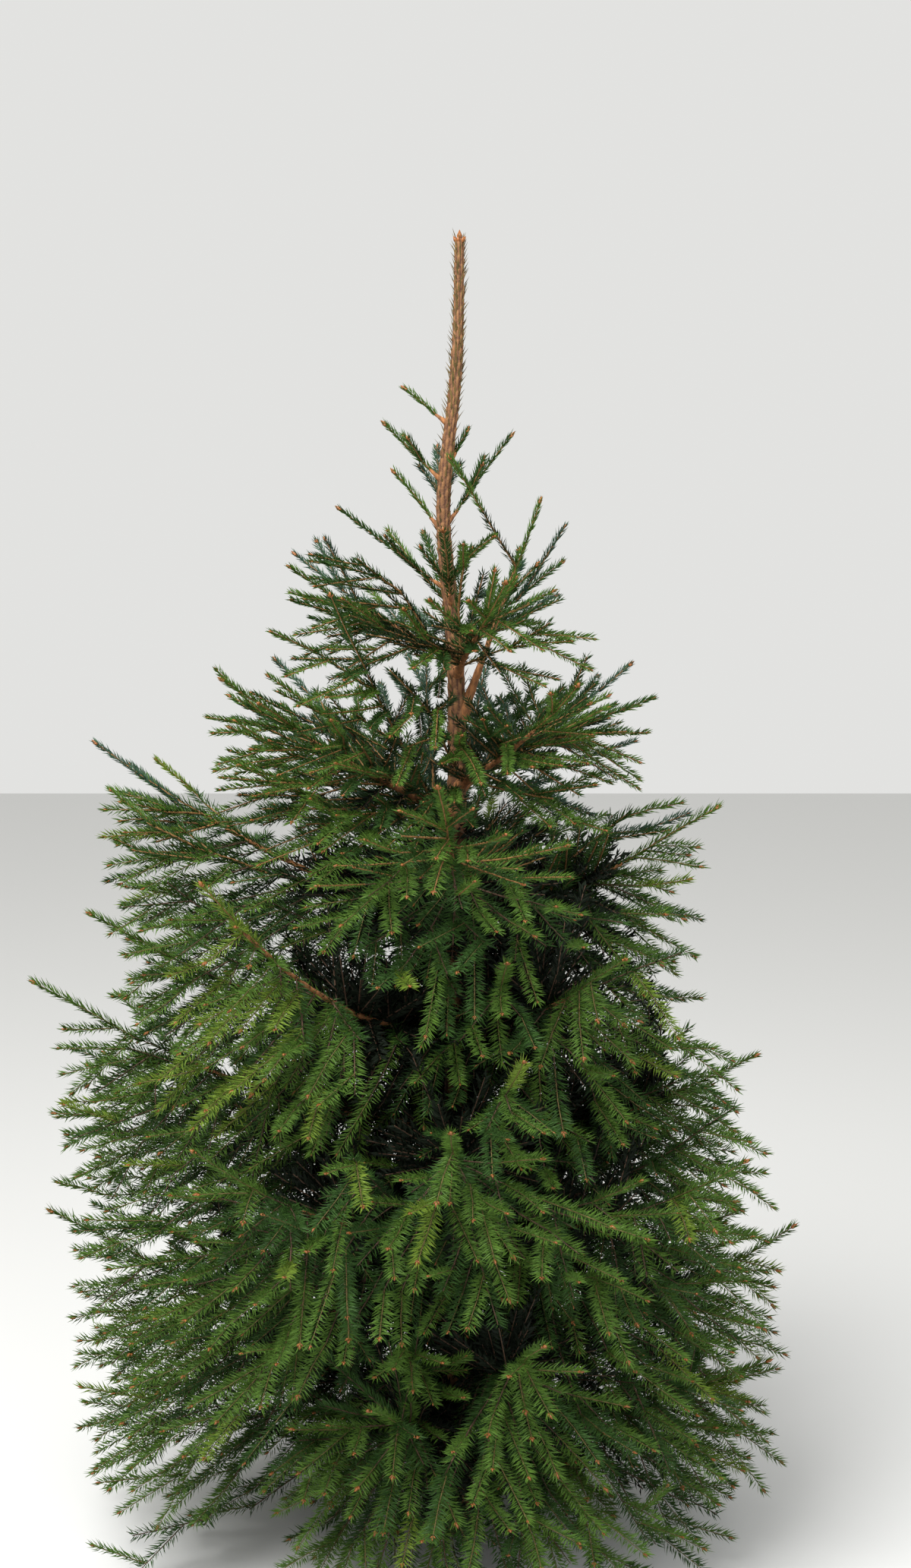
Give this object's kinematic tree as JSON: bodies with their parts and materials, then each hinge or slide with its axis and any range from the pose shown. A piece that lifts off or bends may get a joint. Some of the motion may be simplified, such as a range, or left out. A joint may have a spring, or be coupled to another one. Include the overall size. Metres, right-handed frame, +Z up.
{
  "type": "spruce tree",
  "caption": "Young field-grown spruce: a tapering trunk with a slight bend and a root flare, whorls of boughs that curl up, full needle sprays down to the ground and a bare leader.",
  "frame": {"origin": "centre of the flat cut under the trunk, at ground level", "axes": "+Z up along the trunk, +X to the right and -Y towards the viewer of the picture"},
  "size_m": [0.9596, 0.9359, 1.65],
  "materials": {
    "trunk_bark": "tan-orange young bark in narrow ridges",
    "bough_bark": "orange-brown grooved twig bark",
    "needles": "waxy dark green needles, brighter at the shoot tips"
  },
  "bodies": {
    "root": {"trunk": "trunk_bark", "needles_a1": "needles", "needles_a2": "needles", "needles_a3": "needles", "needles_a4": "needles", "needles_b1": "needles", "needles_b2": "needles", "needles_b3": "needles", "needles_b4": "needles", "needles_c1": "needles", "needles_c2": "needles", "needles_c3": "needles", "needles_c4": "needles", "needles_d1": "needles", "needles_d2": "needles", "needles_d3": "needles", "needles_d4": "needles", "needles_e1": "needles", "needles_e2": "needles", "needles_e3": "needles", "needles_e4": "needles", "bough_f1": "bough_bark", "needles_f1": "needles", "bough_g1": "bough_bark", "needles_g1": "needles", "bough_g2": "bough_bark", "needles_g2": "needles", "bough_g3": "bough_bark", "needles_g3": "needles", "bough_h1": "bough_bark", "needles_h1": "needles", "bough_h2": "bough_bark", "needles_h2": "needles", "bough_h3": "bough_bark", "needles_h3": "needles", "bough_h4": "bough_bark", "needles_h4": "needles", "bough_i1": "bough_bark", "needles_i1": "needles", "bough_i2": "bough_bark", "needles_i2": "needles", "bough_i3": "bough_bark", "needles_i3": "needles", "bough_i4": "bough_bark", "needles_i4": "needles", "needles_j1": "needles", "needles_j2": "needles", "needles_j3": "needles", "needles_top1": "needles", "needles_top2": "needles", "needles_top3": "needles", "needles_top4": "needles", "needles_top5": "needles", "needles_top6": "needles", "needles_top7": "needles", "needles_top8": "needles", "needles_top9": "needles", "needles_top10": "needles", "bough_rival": "bough_bark", "needles_rival": "needles"}
  },
  "joints": []
}
